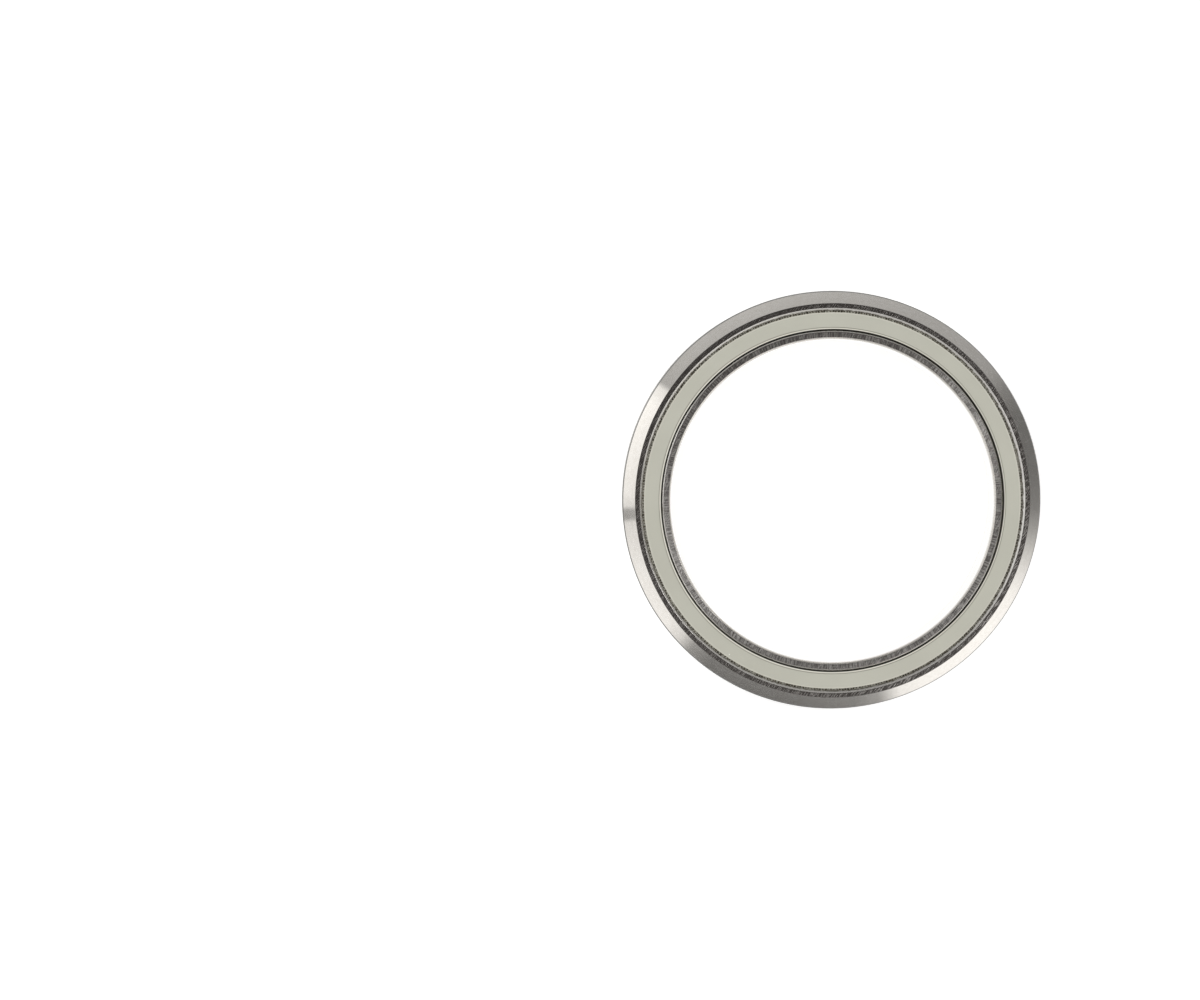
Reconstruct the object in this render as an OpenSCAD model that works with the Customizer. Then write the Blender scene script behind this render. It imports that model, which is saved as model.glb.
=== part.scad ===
// Sealed angular contact cartridge bearing for a bicycle headset.
// Origin: on the axis, at the bottom face. +Z runs along the axis, towards the face with the outer bevel.
// Section outlines are lists of [radius, height]. Depths run inwards from the nearest face.

/* [Bearing] */
// Outside diameter, which drops into the seat in the head tube
outer_d = 52; // [51.6:0.1:54]
// Bore diameter, which clears the steerer tube
bore_d = 40; // [38.5:0.1:40.4]
// Width of the outer ring, from face to face
width = 7; // [6.9:0.1:8.5]
// How far the inner ring stands back from both faces, so that it turns clear of a flat surface
inner_setback = 0.05; // [0.02:0.01:0.1]
// Break on the plain edges of both rings
edge_break = 0.25; // [0.1:0.05:0.35]

/* [Seating bevels] */
// Angle of both bevels from the faces
seat_angle = 45; // [36:9:45]
// Radial width of the bevel around the outer ring's top edge
outer_bevel = 1.58; // [1.2:0.02:1.6]
// Radial width of the bevel around the bottom of the bore
inner_bevel = 1.5; // [1.2:0.05:1.6]
// Break on the rim between the outer bevel and the outside
rim_break = 0.14; // [0.05:0.01:0.2]

/* [Balls and raceways] */
// Ball diameter, one eighth of an inch
ball_d = 3.175; // [2.6:0.025:3.2]
// Number of balls
ball_count = 32; // [20:1:36]
// Angle of the load line through each ball, from the mid plane
contact_angle = 45; // [40:1:50]
// Radius of the raceway grooves, as a share of the ball diameter
groove_share = 0.52; // [0.515:0.005:0.54]
// Gap between a ball and a raceway, on the load line
ball_play = 0.025; // [0.02:0.005:0.03]
// How far round the ball each high shoulder reaches, from the mid plane
shoulder_angle = 70; // [64:1:72]
// Step that the balls snap past at each low shoulder
snap_step = 0.075; // [0.05:0.005:0.09]

/* [Cage] */
// Gap between a ball and its pocket
pocket_play = 0.08; // [0.05:0.01:0.1]
// Thickness of the cage's rim over the top of a ball
cage_floor = 0.35; // [0.25:0.05:0.4]
// How far the cage's fingers reach below the ball centres
finger_reach = 0.75; // [0.5:0.05:0.85]
// Width of the slot that lets each finger spring as the balls snap in
finger_slot = 0.4; // [0.3:0.05:0.5]
// Depth of that slot, from the finger's tip
finger_slot_depth = 0.8; // [0.6:0.05:1.2]
// Gap between the cage and each ring
cage_gap = 0.2; // [0.15:0.01:0.3]

/* [Seals] */
// Flat land beside the outer bevel, on the top face
top_land = 0.58; // [0.4:0.02:0.6]
// Flat land of the outer ring's bottom face
bottom_land = 0.85; // [0.7:0.05:1]
// Chamfer at the mouth of both seal seats
mouth_chamfer = 0.29; // [0.15:0.01:0.3]
// Depth of each retaining lip, from the face
lip_depth = 0.55; // [0.45:0.05:0.6]
// How far the seal's bead reaches under the retaining lip
bead_grip = 0.25; // [0.15:0.05:0.3]
// Depth of the ledge that each seal rests on, from the face
ledge_depth = 1.3; // [1.2:0.05:1.3]
// Gap between a seal's bead and its seat
seal_fit = 0.03; // [0.02:0.01:0.05]
// How far each seal's outer face lies below the bearing's face
seal_recess = 0.2; // [0.1:0.05:0.3]
// Thickness of each seal
seal_t = 0.6; // [0.5:0.05:0.65]
// Gap between a seal's outer edge and the retaining lip
rim_gap = 0.23; // [0.15:0.01:0.25]
// Gap between a seal's inner edge and the turning ring
seal_gap = 0.14; // [0.1:0.01:0.2]
// How far the inner ring steps in behind the inner edge of the top seal
labyrinth_step = 0.36; // [0.3:0.01:0.4]
// Chamfer beside the seals on the inner ring
inner_chamfer = 0.2; // [0.1:0.01:0.25]

/* [Hidden] */
$fn = 180;
outer_r = outer_d / 2;
bore_r = bore_d / 2;
pitch_r = (outer_r + bore_r) / 2;
mid_z = width / 2;
ball_r = ball_d / 2;
outer_bevel_h = outer_bevel * tan(seat_angle);
inner_bevel_h = inner_bevel * tan(seat_angle);

// Raceways: both grooves are wider than the ball, and their centres lie on the load line
groove_r = groove_share * ball_d;
load_line = [cos(contact_angle), sin(contact_angle)];
ball_centre = [pitch_r, mid_z];
groove_offset = groove_r - ball_r - ball_play;
outer_groove = ball_centre - groove_offset * load_line;
inner_groove = ball_centre + groove_offset * load_line;
shoulder_height = ball_r * cos(shoulder_angle);
outer_high_r = pitch_r + shoulder_height;
inner_high_r = pitch_r - shoulder_height;
outer_low_r = outer_groove.x + groove_r - snap_step;
inner_low_r = inner_groove.x - groove_r + snap_step;

// Seal seats
top_lip_r = outer_r - outer_bevel - top_land - mouth_chamfer;
bottom_lip_r = outer_r - edge_break - bottom_land - mouth_chamfer;
lip_slope = 0.12;
labyrinth_r = inner_low_r - labyrinth_step;
labyrinth_z = width - ledge_depth + lip_slope;
inner_top = width - inner_setback;

// Seal sections
bead_overhang = 0.3;
lip_drop = 0.12;
lip_w = 0.16;
lip_round = 0.04;
rib_line = [0.18, 0.26];
rib_depth = 0.05;

// Cage, narrow enough to go in past the top lip and to stand clear of the raceway's shoulder
pocket_r = ball_r + pocket_play;
cage_top = mid_z + pocket_r + cage_floor;
cage_bottom = mid_z - finger_reach;
cage_outer_r = min(outer_high_r, top_lip_r) - cage_gap;
race_at_fingers = inner_groove.x - sqrt(groove_r ^ 2 - (inner_groove.y - cage_bottom) ^ 2);
cage_inner_r = max(inner_low_r, race_at_fingers) + cage_gap;

function ball_name(i) = str("ball_", i < 10 ? "0" : "", i);
function from_top(points) = [for (p = points) [p.x, width - p.y]];
function reversed(points) = [for (i = [len(points) - 1 : -1 : 0]) points[i]];

// The mouth of a seal seat as [radius, depth]: chamfer, retaining lip, bead groove and ledge
function seat_mouth(lip_r) = [
    [lip_r + mouth_chamfer, 0],
    [lip_r, mouth_chamfer],
    [lip_r, lip_depth],
    [lip_r + bead_grip, lip_depth + lip_slope],
    [lip_r + bead_grip, ledge_depth]
];

// A seal's section as [radius, depth], from its inner edge round by the outer bead, whose foot starts at foot_r
function seal_section(lip_r, foot_r, turning_r) =
    let (
        inner = turning_r + seal_gap,
        outer = lip_r - rim_gap,
        bead = lip_r + bead_grip - seal_fit,
        foot = ledge_depth - seal_fit,
        neck = lip_depth + seal_fit,
        back = seal_recess + seal_t
    )
    [
        [inner, seal_recess + lip_round],
        [inner + lip_round, seal_recess],
        [inner + rib_line[0], seal_recess],
        [inner + rib_line[0], seal_recess + rib_depth],
        [inner + rib_line[1], seal_recess + rib_depth],
        [inner + rib_line[1], seal_recess],
        [outer, seal_recess],
        [outer, neck],
        [lip_r, neck],
        [bead, neck + lip_slope],
        [bead, foot],
        [foot_r, foot],
        [foot_r, back],
        [inner + lip_w + lip_drop, back],
        [inner + lip_w, back + lip_drop],
        [inner, back + lip_drop]
    ];

// Hardened outer ring: bevel and seal seats outside, one deep raceway shoulder above the balls
module outer_ring() {
    outline = concat(
        [
            [outer_r - edge_break, 0],
            [outer_r, edge_break],
            [outer_r, width - outer_bevel_h - rim_break],
            [outer_r - rim_break, width - outer_bevel_h + rim_break * tan(seat_angle)],
            [outer_r - outer_bevel, width]
        ],
        from_top(seat_mouth(top_lip_r)),
        [
            [outer_high_r, width - ledge_depth],
            [outer_high_r, mid_z],
            [outer_low_r, mid_z],
            [outer_low_r, ledge_depth]
        ],
        reversed(seat_mouth(bottom_lip_r))
    );
    color([0.62, 0.61, 0.59])
    rotate_extrude()
    difference() {
        polygon(outline);
        translate(outer_groove) circle(r = groove_r);
    }
}

// Hardened inner ring: bevel at the bottom of the bore, deep raceway shoulder below the balls
module inner_ring() {
    outline = [
        [bore_r, inner_setback + inner_bevel_h],
        [bore_r + inner_bevel, inner_setback],
        [inner_high_r - inner_chamfer, inner_setback],
        [inner_high_r, inner_setback + inner_chamfer],
        [inner_high_r, mid_z],
        [inner_low_r, mid_z],
        [inner_low_r, labyrinth_z - labyrinth_step],
        [labyrinth_r, labyrinth_z],
        [labyrinth_r, inner_top - inner_chamfer],
        [labyrinth_r - inner_chamfer, inner_top],
        [bore_r + edge_break, inner_top],
        [bore_r, inner_top - edge_break]
    ];
    color([0.55, 0.54, 0.53])
    rotate_extrude()
    difference() {
        polygon(outline);
        translate(inner_groove) circle(r = groove_r);
    }
}

// Snap-in crown cage: a rim over the balls, with a slotted finger between each pair that wraps past their middle
module cage() {
    color([0.86, 0.80, 0.62])
    difference() {
        rotate_extrude()
        translate([cage_inner_r, cage_bottom])
        square([cage_outer_r - cage_inner_r, cage_top - cage_bottom]);
        for (i = [1 : ball_count]) {
            at_ball(i) sphere(r = pocket_r);
            at_ball(i + 0.5) spring_slot();
        }
    }
}

// A round-ended slot through a finger, open at its tip
module spring_slot() {
    slot_end = cage_bottom - mid_z + finger_slot_depth - finger_slot / 2;
    rotate([90, 0, 90])
    linear_extrude(ball_d, center = true)
    union() {
        translate([0, slot_end]) circle(d = finger_slot);
        translate([-finger_slot / 2, -ball_d]) square([finger_slot, slot_end + ball_d]);
    }
}

// Places its children at one ball's centre
module at_ball(i) {
    rotate([0, 0, 360 / ball_count * (i - 0.5)])
    translate([pitch_r, 0, mid_z])
    children();
}

module ball(i) {
    color([0.80, 0.80, 0.82])
    at_ball(i) sphere(r = ball_r);
}

// Moulded rubber seals, held by their beads in the outer ring. The top bead's foot stands clear of the cage.
module top_seal() {
    color([0.72, 0.72, 0.67])
    rotate_extrude()
    polygon(from_top(seal_section(top_lip_r, cage_outer_r + seal_gap, labyrinth_r)));
}

module bottom_seal() {
    color([0.72, 0.72, 0.67])
    rotate_extrude()
    polygon(seal_section(bottom_lip_r, outer_low_r - bead_overhang, inner_high_r));
}

outer_ring();
inner_ring();
cage();
top_seal();
bottom_seal();
for (i = [1 : ball_count])
    ball(i);
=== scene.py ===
# %% [markdown]
# # A sealed headset bearing, ready to be looked at
#
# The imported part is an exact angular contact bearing: two steel rings, 32 balls in a cage and two rubber
# seals. This script gives it its looks. The rings and seals are turned again as smooth pieces with softened
# edges, because a bearing is all edges that catch the light.

import math

import bpy
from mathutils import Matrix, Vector


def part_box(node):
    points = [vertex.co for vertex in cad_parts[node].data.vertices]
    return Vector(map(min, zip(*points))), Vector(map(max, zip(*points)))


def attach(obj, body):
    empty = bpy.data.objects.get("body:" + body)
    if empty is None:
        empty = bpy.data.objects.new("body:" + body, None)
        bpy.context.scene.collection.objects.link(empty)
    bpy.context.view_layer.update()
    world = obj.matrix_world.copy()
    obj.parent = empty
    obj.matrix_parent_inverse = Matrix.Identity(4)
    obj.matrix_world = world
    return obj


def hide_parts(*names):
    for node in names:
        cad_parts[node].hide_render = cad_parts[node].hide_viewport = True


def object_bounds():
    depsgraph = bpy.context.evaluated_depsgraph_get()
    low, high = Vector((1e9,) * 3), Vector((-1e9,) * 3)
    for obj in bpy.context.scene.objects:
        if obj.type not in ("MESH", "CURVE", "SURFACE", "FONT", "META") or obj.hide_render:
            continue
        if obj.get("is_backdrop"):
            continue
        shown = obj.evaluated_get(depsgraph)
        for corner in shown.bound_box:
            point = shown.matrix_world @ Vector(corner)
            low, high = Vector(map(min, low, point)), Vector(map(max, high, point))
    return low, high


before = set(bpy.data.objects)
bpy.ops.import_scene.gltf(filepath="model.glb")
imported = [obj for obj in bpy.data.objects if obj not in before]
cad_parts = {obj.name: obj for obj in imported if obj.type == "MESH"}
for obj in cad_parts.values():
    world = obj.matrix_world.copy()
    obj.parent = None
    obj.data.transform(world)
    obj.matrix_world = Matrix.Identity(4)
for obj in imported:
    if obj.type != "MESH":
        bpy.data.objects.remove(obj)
size_at_start = [list(corner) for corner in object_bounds()]
print("CAD box, in metres:", size_at_start)

# %% [markdown]
# ## Sizes
#
# Lengths here are in millimetres until a mesh is made, because that is how bearings are drawn. The outside
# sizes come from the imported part. The rest repeats the named sizes of the part's source, so that a piece
# turned here lies exactly where its solid is.

# %% Sizes of the bearing
MM = 0.001
TAU = 2 * math.pi

ring_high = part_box("outer_ring")[1]
OUTER_R = ring_high.x / MM
WIDTH = ring_high.z / MM
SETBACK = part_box("inner_ring")[0].z / MM
MID_Z = WIDTH / 2

BORE_R = 20.0
EDGE_BREAK = 0.25
OUTER_BEVEL = 1.58
INNER_BEVEL = 1.5

BALL_R = 3.175 / 2
PITCH_R = (OUTER_R + BORE_R) / 2
CONTACT_ANGLE = math.radians(45)
SHOULDER_ANGLE = math.radians(70)
GROOVE_R = 0.52 * 2 * BALL_R
BALL_PLAY = 0.025
SNAP_STEP = 0.075

TOP_LAND = 0.58
BOTTOM_LAND = 0.85
MOUTH_CHAMFER = 0.29
RIM_BREAK = 0.14
LIP_DEPTH = 0.55
LIP_SLOPE = 0.12
BEAD_GRIP = 0.25
LEDGE_DEPTH = 1.3
LABYRINTH_STEP = 0.36
INNER_CHAMFER = 0.2

SEAL_FIT = 0.03
SEAL_RECESS = 0.2
SEAL_T = 0.6
RIM_GAP = 0.23
SEAL_GAP = 0.14
CAGE_GAP = 0.2
RIB_START, RIB_END = 0.18, 0.26
RIB_DEPTH = 0.05
LIP_W = 0.16
LIP_DROP = 0.12
BEAD_OVERHANG = 0.3

# %% Sizes that follow from them
groove_offset = GROOVE_R - BALL_R - BALL_PLAY
OUTER_GROOVE = (
    PITCH_R - groove_offset * math.cos(CONTACT_ANGLE),
    MID_Z - groove_offset * math.sin(CONTACT_ANGLE),
)
INNER_GROOVE = (
    PITCH_R + groove_offset * math.cos(CONTACT_ANGLE),
    MID_Z + groove_offset * math.sin(CONTACT_ANGLE),
)
shoulder = BALL_R * math.cos(SHOULDER_ANGLE)
OUTER_HIGH_R = PITCH_R + shoulder
INNER_HIGH_R = PITCH_R - shoulder
OUTER_LOW_R = OUTER_GROOVE[0] + GROOVE_R - SNAP_STEP
INNER_LOW_R = INNER_GROOVE[0] - GROOVE_R + SNAP_STEP
TOP_LIP_R = OUTER_R - OUTER_BEVEL - TOP_LAND - MOUTH_CHAMFER
BOTTOM_LIP_R = OUTER_R - EDGE_BREAK - BOTTOM_LAND - MOUTH_CHAMFER
LABYRINTH_R = INNER_LOW_R - LABYRINTH_STEP
LABYRINTH_Z = WIDTH - LEDGE_DEPTH + LIP_SLOPE
INNER_TOP = WIDTH - SETBACK
SEAL_TOP = WIDTH - SEAL_RECESS

print(f"rings {BORE_R:g} to {OUTER_R:.3f} mm, {WIDTH:.3f} mm wide; top lip at {TOP_LIP_R:.3f} mm")

# %% [markdown]
# ## Shader maths
#
# A finish here is mostly arithmetic: a stroke pattern times a strength, plus a base. This small class wraps
# a node's output so that such a line can be typed as it is said. Each operator adds a Math node to the tree
# that its sockets belong to.


# %% Sockets that take part in expressions
class Value:
    """A shader value that adds a Math node for each operator used on it."""

    def __init__(self, nodes, socket):
        self.nodes = nodes
        self.socket = socket

    def smooth(self, start, end):
        """0 below start, 1 above end, and a soft rise in between."""
        settings = {"interpolation_type": "SMOOTHSTEP"}
        return self.nodes.add("MapRange", settings, {"Value": self, "From Min": start, "From Max": end})


def operator_for(operation, reflected):
    """A method that adds one Math node. Reflected, it swaps its two numbers, as 1 - mask needs."""

    def method(self, other):
        first, second = (other, self) if reflected else (self, other)
        return self.nodes.add("Math", {"operation": operation}, {0: first, 1: second})

    return method


MATHS = {"add": "ADD", "sub": "SUBTRACT", "mul": "MULTIPLY", "truediv": "DIVIDE", "pow": "POWER"}
for sign, operation in MATHS.items():
    setattr(Value, f"__{sign}__", operator_for(operation, reflected=False))
    setattr(Value, f"__r{sign}__", operator_for(operation, reflected=True))
print("operators on values:", ", ".join(MATHS))

# %% [markdown]
# `add` puts any node into a tree, from its type, its settings and the values or links of its sockets. A
# finish is one material of the bearing. It starts as a Principled shader, whose constants are set on its own
# sockets. Its patterns read Object coordinates, in metres, so they keep their real size on every piece.


# %% A shader tree
class Nodes:
    """A shader tree that nodes are added to."""

    def __init__(self, tree):
        self.tree = tree

    def add(self, kind, settings, values, output=0):
        """A new node's output. Settings come first, because they decide which sockets there are."""
        node = self.tree.nodes.new("ShaderNode" + kind)
        for name, value in settings.items():
            setattr(node, name, value)
        for key, value in values.items():
            self.feed(node.inputs[key], value)
        if node.outputs:
            return Value(self, node.outputs[output])

    def feed(self, socket, value):
        """Links a value to a socket, or sets a plain number or colour on it."""
        if isinstance(value, Value):
            self.tree.links.new(value.socket, socket)
        else:
            socket.default_value = value


# %% A finish
class Finish(Nodes):
    """One material of the bearing, with the helpers that its look is made of."""

    def __init__(self, name, **constants):
        self.material = bpy.data.materials.new(name)
        self.material.use_nodes = True
        super().__init__(self.material.node_tree)
        self.give(**constants)
        self.place = self.add("TexCoord", {}, {}, "Object")

    def give(self, **sockets):
        """Feeds the shader's own sockets, such as Base_Color."""
        for name, value in sockets.items():
            self.feed(self.tree.nodes["Principled BSDF"].inputs[name.replace("_", " ")], value)

    def noise(self, vector, spots, detail=2.0, roughness=0.5):
        """Noise between 0 and 1, with so many spots a metre."""
        values = {"Vector": vector, "Scale": spots, "Detail": detail, "Roughness": roughness}
        return self.add("TexNoise", {}, values)

    def mix(self, factor, first, second):
        """A colour between two others. The Mix node's colours are its inputs 6 and 7 and its output 2."""
        return self.add("Mix", {"data_type": "RGBA"}, {0: factor, 6: first, 7: second}, output=2)

    def bump(self, height, depth, strength):
        """A surface raised by height times depth, in metres."""
        return self.add("Bump", {}, {"Height": height, "Distance": depth, "Strength": strength})

    def axes(self):
        """X, Y and Z, in metres."""
        split = self.add("SeparateXYZ", {}, {"Vector": self.place}).socket.node
        return [Value(self, socket) for socket in split.outputs]

    def join(self, x, y, z):
        return self.add("CombineXYZ", {}, {"X": x, "Y": y, "Z": z})

    def radius(self):
        """The distance from the axis, in metres."""
        x, y, _ = self.axes()
        return (x * x + y * y) ** 0.5

    def towards(self, degrees):
        """How far a point lies out in one direction from the axis, in metres."""
        x, y, _ = self.axes()
        angle = math.radians(degrees)
        return x * math.cos(angle) + y * math.sin(angle)

    def done(self, **sockets):
        """The finished material, once its shader's sockets have been fed."""
        self.give(**sockets)
        print(f"finish {self.material.name}: {len(self.tree.nodes)} nodes")
        return self.material


def band(value, rise, fall):
    """1 between two places and 0 outside them. rise and fall are the start and end of each soft border."""
    return value.smooth(*rise) * (1 - value.smooth(*fall))


# %% [markdown]
# ## Ground faces
#
# Both rings are hardened steel, and every face shows how it was cut. The flat ones were ground under a
# wheel and carry short strokes that all run one way across the ring. A picture of steel wrapped round the
# ring would show its seam, while noise drawn out along one direction has none. On the outer ring's narrow
# land the strokes fade at the borders and grow stronger towards one side, which is painted light.


# %% Flat faces under a grinding wheel
BRIGHT_STEEL = (0.70, 0.68, 0.65, 1.0)


def between_strokes(level):
    """The tone of the metal between its bright strokes."""
    return (level * 0.61, level * 0.575, level * 0.55, 1.0)


def straight_strokes(finish, lay, length, width):
    """Noise drawn out along the direction lay, in degrees. Length and width are a stroke's, in mm."""
    rotate = {"rotation_type": "Z_AXIS"}
    turned = finish.add("VectorRotate", rotate, {"Vector": finish.place, "Angle": -math.radians(lay)})
    stretch = (1 / (MM * length), 1 / (MM * width), 300.0)
    drawn = finish.add("VectorMath", {"operation": "MULTIPLY"}, {0: turned, 1: stretch})
    return finish.noise(drawn, 1.0, detail=1.5, roughness=0.55)


def inside_borders(finish, inner_r, outer_r, border):
    """1 on a ring between two radii, fading to 0 over its borders, all in mm."""
    return band(finish.radius() / MM, (inner_r, inner_r + border), (outer_r - border, outer_r))


def ground_face(name, lay, level, ring=None, painted_light_towards=None):
    """A flat face with short straight strokes along lay, on metal as dark as level says.

    ring is the face's two radii and the width of its borders, in mm. The strokes grow stronger in the
    direction given by the last argument, as painted light on that side of the ring. Both directions are in
    degrees.
    """
    finish = Finish(name, Metallic=1.0)
    strokes = straight_strokes(finish, lay, length=1.0, width=0.12).smooth(0.42, 0.68)
    # Painted light: the strokes brighten towards one side, where the light falls on the land.
    if painted_light_towards is not None:
        strokes = strokes * (finish.towards(painted_light_towards) / (MM * OUTER_R) * 0.42 + 0.88)
    patches = finish.noise(finish.place, 420.0, detail=1.0).smooth(0.3, 0.7)
    bright = strokes * (patches * 0.4 + 0.6)
    if ring:
        bright = bright * inside_borders(finish, *ring)
    return finish.done(
        Base_Color=finish.mix(bright, between_strokes(level), BRIGHT_STEEL),
        Roughness=0.22 + bright * 0.14,
        Normal=finish.bump(strokes, 0.8e-6, 0.35),
    )


outer_land = (TOP_LIP_R + MOUTH_CHAMFER, OUTER_R - OUTER_BEVEL, 0.13)
# The land's strokes are stronger towards -48 degrees, as painted light on that side.
land_steel = ground_face("outer_land_steel", 52.0, 0.37, ring=outer_land, painted_light_towards=-48.0)
outer_bottom_steel = ground_face("bottom_face_steel", -38.0, 0.6)
inner_bottom_steel = ground_face("inner_bottom_steel", -25.0, 0.6)

# %% [markdown]
# The inner ring's top face was ground round the axis instead, and then stroked across. Its fine lines smear
# a reflection into two bright bows on opposite sides of the ring. The shader's anisotropy does that with no
# line drawn: it is rougher along the radius than round the axis.


# %% The face ground round the axis
STEEL = (0.605, 0.588, 0.562, 1.0)
ROUND_THE_AXIS = 0.25


def radial_ticks(finish, length, width, at_r):
    """Noise drawn out along the radius, with no seam, because it is laid over the points of a circle."""
    x, y, _ = finish.axes()
    radius = finish.radius()
    pitch = at_r / width
    ticks = finish.join(x / radius * pitch, y / radius * pitch, radius / (MM * length))
    return finish.noise(ticks, 1.0, detail=1.5)


def inner_ring_face(name, ring):
    """A dark face with ticks across it, scratches in patches and plain borders."""
    finish = Finish(name, Metallic=1.0, Anisotropic=0.8, Anisotropic_Rotation=ROUND_THE_AXIS)
    ticks = radial_ticks(finish, length=1.6, width=0.16, at_r=PITCH_R).smooth(0.43, 0.62)
    scratches = straight_strokes(finish, 62.0, length=0.9, width=0.13).smooth(0.45, 0.62)
    patches = finish.noise(finish.place, 300.0, detail=1.0).smooth(0.35, 0.65)
    bright = (ticks * (1 - patches * 0.6) + scratches * patches) * inside_borders(finish, *ring)
    return finish.done(
        Base_Color=finish.mix(bright, between_strokes(0.365), STEEL),
        Roughness=0.36 + bright * 0.06,
    )


inner_land = (BORE_R + EDGE_BREAK, LABYRINTH_R - INNER_CHAMFER, 0.1)
inner_face_steel = inner_ring_face("inner_face_steel", inner_land)

# %% [markdown]
# ## Bevels and chamfers
#
# These were turned, so their lines run round the axis too, and anisotropy smears their reflections again.
# Noise only tints the metal a little, because a bevel gets its look from what stands round it. Two chamfers
# border the seal, and both are dark brown in dashes where they meet the gap; on the inner ring that dark is
# painted shade of the gap.


# %% Turned steel
CONE_DEEP = (0.588, 0.562, 0.522, 1.0)
CONE_PALE = (0.640, 0.617, 0.582, 1.0)
GAP_DARK_BROWN = (0.20, 0.185, 0.16, 1.0)


def turned_cone(name, roughness):
    """A bevel or chamfer with fine lines round the axis."""
    finish = Finish(name, Metallic=1.0, Anisotropic=1.0, Anisotropic_Rotation=ROUND_THE_AXIS)
    x, y, z = finish.axes()
    along_radius = finish.join(x * 0.05, y * 0.05, finish.radius() * 0.7 - z * 0.7)
    lines = finish.noise(along_radius, 9000.0)
    clouds = finish.noise(finish.place, 2400.0, detail=3.0)
    tone = clouds * 0.6 + lines * 0.4
    return finish.done(
        Base_Color=finish.mix(tone.smooth(0.3, 0.7), CONE_DEEP, CONE_PALE),
        Roughness=roughness + lines * 0.03,
    )


def dark_dashed_chamfer(name, gap_r, side, clean):
    """A turned chamfer, dark brown in short dashes where it meets the gap at gap_r; beside the inner ring's
    gap this is painted shade.

    side is 1 where the chamfer lies outside the gap and -1 where it lies inside. clean is how far from the
    gap the dark begins to thin and where it has gone. All are in mm.
    """
    finish = Finish(name, Metallic=1.0, Anisotropic=1.0, Anisotropic_Rotation=ROUND_THE_AXIS)
    x, y, z = finish.axes()
    patchy = finish.noise(finish.join(x, y, z * 3), 2600.0)
    away = (finish.radius() / MM - gap_r) * side
    bare = (patchy + away.smooth(*clean) * 0.45).smooth(0.5, 0.66)
    return finish.done(Base_Color=finish.mix(bare, GAP_DARK_BROWN, BRIGHT_STEEL), Roughness=0.25 - bare * 0.1)


bevel_steel = turned_cone("bevel_steel", 0.2)
chamfer_steel = turned_cone("chamfer_steel", 0.17)
mouth_steel = dark_dashed_chamfer("mouth_chamfer_steel", TOP_LIP_R, 1, (0.06, 0.2))
# Painted shade: on the inner ring the dark dashes stand for the shade of the gap beside the chamfer.
seal_edge_steel = dark_dashed_chamfer("seal_edge_steel", LABYRINTH_R, -1, (0.03, 0.1))

# %% [markdown]
# ## Walls, rim and raceways
#
# The outside and the bore were ground round the axis, with lines so fine that they only break the tone. The
# rim between bevel and outside was tumbled, which leaves it dark and rough. The wall behind the seal's lip
# is darkened as painted shade of the narrow gap, the balls have a film of grease, and the raceways are
# polished. All are noise on plain metal, since none of them shows more than its tone and its gloss.

# %% The other steel
WALL = (0.44, 0.43, 0.41, 1.0), (0.54, 0.525, 0.50, 1.0)
BORE = (0.53, 0.515, 0.49, 1.0), (0.61, 0.595, 0.57, 1.0)
RIM = (0.20, 0.197, 0.188, 1.0)
RACE = (0.60, 0.59, 0.58, 1.0), (0.66, 0.65, 0.64, 1.0)
GAP_WALL_SHADE = (0.10, 0.095, 0.085, 1.0), (0.20, 0.19, 0.17, 1.0)
GREASED_BALL = (0.80, 0.80, 0.82, 1.0), (0.70, 0.66, 0.58, 1.0)


def ground_wall(name, tones):
    """A cylinder with fine lines along its turn and a faint stain."""
    finish = Finish(name, Metallic=1.0)
    x, y, z = finish.axes()
    lines = finish.noise(finish.join(x * 0.06, y * 0.06, z), 11000.0, detail=3.0, roughness=0.7)
    stain = finish.noise(finish.place, 130.0, detail=3.0)
    tone = lines * 0.7 + stain * 0.3
    return finish.done(
        Base_Color=finish.mix(tone.smooth(0.3, 0.7), *tones),
        Roughness=0.18 + lines * 0.16,
        Normal=finish.bump(lines, 0.8e-6, 0.4),
    )


def tumbled_rim(name):
    """The narrow broken edge between bevel and wall."""
    finish = Finish(name, Metallic=1.0, Base_Color=RIM)
    dents = finish.noise(finish.place, 2600.0)
    return finish.done(Roughness=0.3 + dents * 0.3)


def polished_race(name):
    """A raceway, with the faint lines that superfinishing leaves along it."""
    finish = Finish(name, Metallic=1.0)
    x, y, z = finish.axes()
    turn = finish.add("Math", {"operation": "ARCTAN2"}, {0: y, 1: x}) / TAU
    lines = finish.noise(finish.join(z, finish.radius(), turn * 0.02), 5000.0, detail=1.0)
    return finish.done(Base_Color=finish.mix(lines, *RACE), Roughness=0.1 + lines * 0.08)


def two_tone_patches(name, tones, spots, gloss, soft=None, **constants):
    """Two tones in patches. gloss is the roughness of the first and what the second adds to it."""
    finish = Finish(name, **constants)
    film = finish.noise(finish.place, spots)
    if soft:
        film = film.smooth(*soft)
    return finish.done(Base_Color=finish.mix(film, *tones), Roughness=gloss[0] + film * gloss[1])


wall_steel = ground_wall("wall_steel", WALL)
bore_steel = ground_wall("bore_steel", BORE)
rim_steel = tumbled_rim("rim_steel")
# Painted shade: the wall behind the seal's lip is darkened for the shade of the narrow gap.
gap_steel = two_tone_patches("gap_steel", GAP_WALL_SHADE, 1800.0, (0.3, 0.2), Metallic=1.0)
race_steel = polished_race("race_steel")
ball_steel = two_tone_patches("ball_steel", GREASED_BALL, 900.0, (0.06, 0.12), soft=(0.4, 0.7), Metallic=1.0)
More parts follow.
